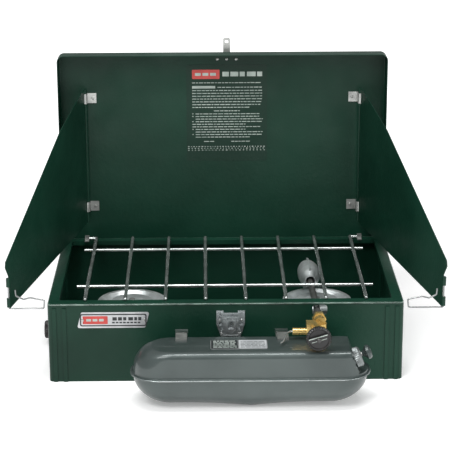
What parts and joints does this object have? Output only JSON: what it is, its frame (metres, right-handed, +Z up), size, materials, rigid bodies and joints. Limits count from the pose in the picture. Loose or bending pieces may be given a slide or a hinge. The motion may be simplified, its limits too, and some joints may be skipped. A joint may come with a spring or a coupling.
{
  "type": "camp stove",
  "caption": "Open suitcase-style liquid-fuel camp stove: tray case, wire grate, round burners, upright lid with wind baffles, and a pressurised fuel tank on the front.",
  "frame": {"origin": "centre of the case's flat base", "axes": "+X to the cook's right, +Y towards the lid, +Z up"},
  "size_m": [0.5422, 0.4032, 0.384],
  "materials": {
    "green_enamel": "hammered gloss enamel",
    "printed_label": "screen print",
    "etched_plate": "satin",
    "zinc_plate": "zinc plated",
    "bright_wire": "bright",
    "burner_steel": "pressed steel",
    "brass": "machined",
    "generator_steel": "heat darkened",
    "tank_nickel": "metallic silver paint",
    "black_plastic": "moulded",
    "pump_leather": "oiled",
    "washer_rubber": "moulded"
  },
  "bodies": {
    "case": {"case_pan": "green_enamel", "nameplate": "etched_plate", "case_rivets": "zinc_plate", "latch_base": "zinc_plate", "latch_pin": "zinc_plate", "case_hinge_leaves": "zinc_plate", "lid_hinge_pins": "zinc_plate", "grate_clips": "zinc_plate", "burner_bowl_left": "burner_steel", "burner_bowl_right": "burner_steel", "burner_rings_left": "burner_steel", "burner_rings_right": "burner_steel", "burner_cap_left": "burner_steel", "burner_cap_right": "burner_steel", "burner_cup_left": "burner_steel", "burner_cup_right": "burner_steel", "burner_stand_left": "zinc_plate", "burner_stand_right": "zinc_plate", "burner_screws": "zinc_plate", "manifold_tube": "burner_steel", "mixing_chamber_left": "burner_steel", "mixing_chamber_right": "burner_steel", "aux_valve_body": "brass"},
    "lid": {"lid_pan": "green_enamel", "lid_hinge_leaves": "zinc_plate", "lid_label": "printed_label", "lid_strap": "zinc_plate", "lid_rivets": "zinc_plate", "baffle_clips": "zinc_plate", "baffle_rods": "green_enamel"},
    "left_baffle": {"baffle_left": "green_enamel"},
    "right_baffle": {"baffle_right": "green_enamel"},
    "left_wire": {"baffle_wire_left": "bright_wire"},
    "right_wire": {"baffle_wire_right": "bright_wire"},
    "grate": {"grate": "bright_wire"},
    "latch": {"latch_lever": "zinc_plate"},
    "aux_valve": {"aux_valve_stem": "brass", "aux_valve_knob": "black_plastic"},
    "tank": {"tank_upper_shell": "tank_nickel", "tank_lower_shell": "tank_nickel", "tank_hangers": "zinc_plate", "tank_label": "etched_plate", "valve_body": "brass", "pickup_tube": "brass", "generator_nut": "brass", "generator_tube": "generator_steel", "packing_nut": "brass", "filler_neck": "tank_nickel", "pump_barrel": "tank_nickel", "pump_cap": "zinc_plate", "check_valve": "brass"},
    "control": {"valve_stem": "brass", "control_knob": "black_plastic", "knob_screw": "zinc_plate"},
    "lighting": {"lighting_lever": "bright_wire"},
    "filler": {"filler_cap": "tank_nickel", "filler_washer": "washer_rubber"},
    "plunger": {"pump_plunger": "zinc_plate", "pump_cup": "pump_leather"},
    "pump_grip": {"pump_knob": "tank_nickel"}
  },
  "joints": [
    {"name": "lid_hinge", "type": "hinge", "parent": "case", "child": "lid", "pos_m": [0, 0.1379, 0.088], "axis": [1, 0, 0], "range_deg": [-3, 3]},
    {"name": "left_baffle_fold", "type": "hinge", "parent": "lid", "child": "left_baffle", "pos_m": [-0.19, 0.1555, 0.2], "axis": [0, 0, -1], "range_deg": [-103.5, 0]},
    {"name": "right_baffle_fold", "type": "hinge", "parent": "lid", "child": "right_baffle", "pos_m": [0.19, 0.1495, 0.2], "axis": [0, 0, 1], "range_deg": [-103.5, 0]},
    {"name": "left_wire_swing", "type": "hinge", "parent": "left_baffle", "child": "left_wire", "pos_m": [-0.26863, -0.16705, 0.13], "axis": [0, 0, -1], "range_deg": [0, 103.5]},
    {"name": "right_wire_swing", "type": "hinge", "parent": "right_baffle", "child": "right_wire", "pos_m": [0.26863, -0.17305, 0.13], "axis": [0, 0, 1], "range_deg": [0, 103.5]},
    {"name": "grate_lift", "type": "hinge", "parent": "case", "child": "grate", "pos_m": [0, 0.126, 0.1073], "axis": [-1, 0, 0], "range_deg": [0, 70]},
    {"name": "latch_swing", "type": "hinge", "parent": "case", "child": "latch", "pos_m": [0.006, -0.1402, 0.066], "axis": [1, 0, 0], "range_deg": [0, 110]},
    {"name": "aux_valve_turn", "type": "hinge", "parent": "case", "child": "aux_valve", "pos_m": [-0.232, 0, 0.02], "axis": [-1, 0, 0], "range_deg": [0, 540]},
    {"name": "tank_draw", "type": "slide", "parent": "case", "child": "tank", "axis": [0, -0.9966, 0.0819], "range_m": [0, 0.15]},
    {"name": "control_turn", "type": "hinge", "parent": "tank", "child": "control", "pos_m": [0.111, -0.217, 0.0935], "axis": [0, -1, 0], "range_deg": [0, 540]},
    {"name": "lighting_lever_turn", "type": "hinge", "parent": "tank", "child": "lighting", "pos_m": [0.0905, -0.187, 0.086], "axis": [-1, 0, 0], "range_deg": [0, 180]},
    {"name": "filler_cap_turn", "type": "hinge", "parent": "tank", "child": "filler", "pos_m": [0.15879, -0.22, 0.06481], "axis": [0.9263, 0, 0.3769], "range_deg": [0, 720]},
    {"name": "pump_stroke", "type": "slide", "parent": "tank", "child": "plunger", "axis": [0.9263, 0, 0.3769], "range_m": [0, 0.058]},
    {"name": "pump_knob_turn", "type": "hinge", "parent": "plunger", "child": "pump_grip", "pos_m": [0.16905, -0.198, 0.06082], "axis": [0.9263, 0, 0.3769], "range_deg": [0, 360]}
  ],
  "couplings": [
    {"joint": "left_wire_swing", "follows": "left_baffle_fold", "ratio": -1},
    {"joint": "right_wire_swing", "follows": "right_baffle_fold", "ratio": -1}
  ]
}
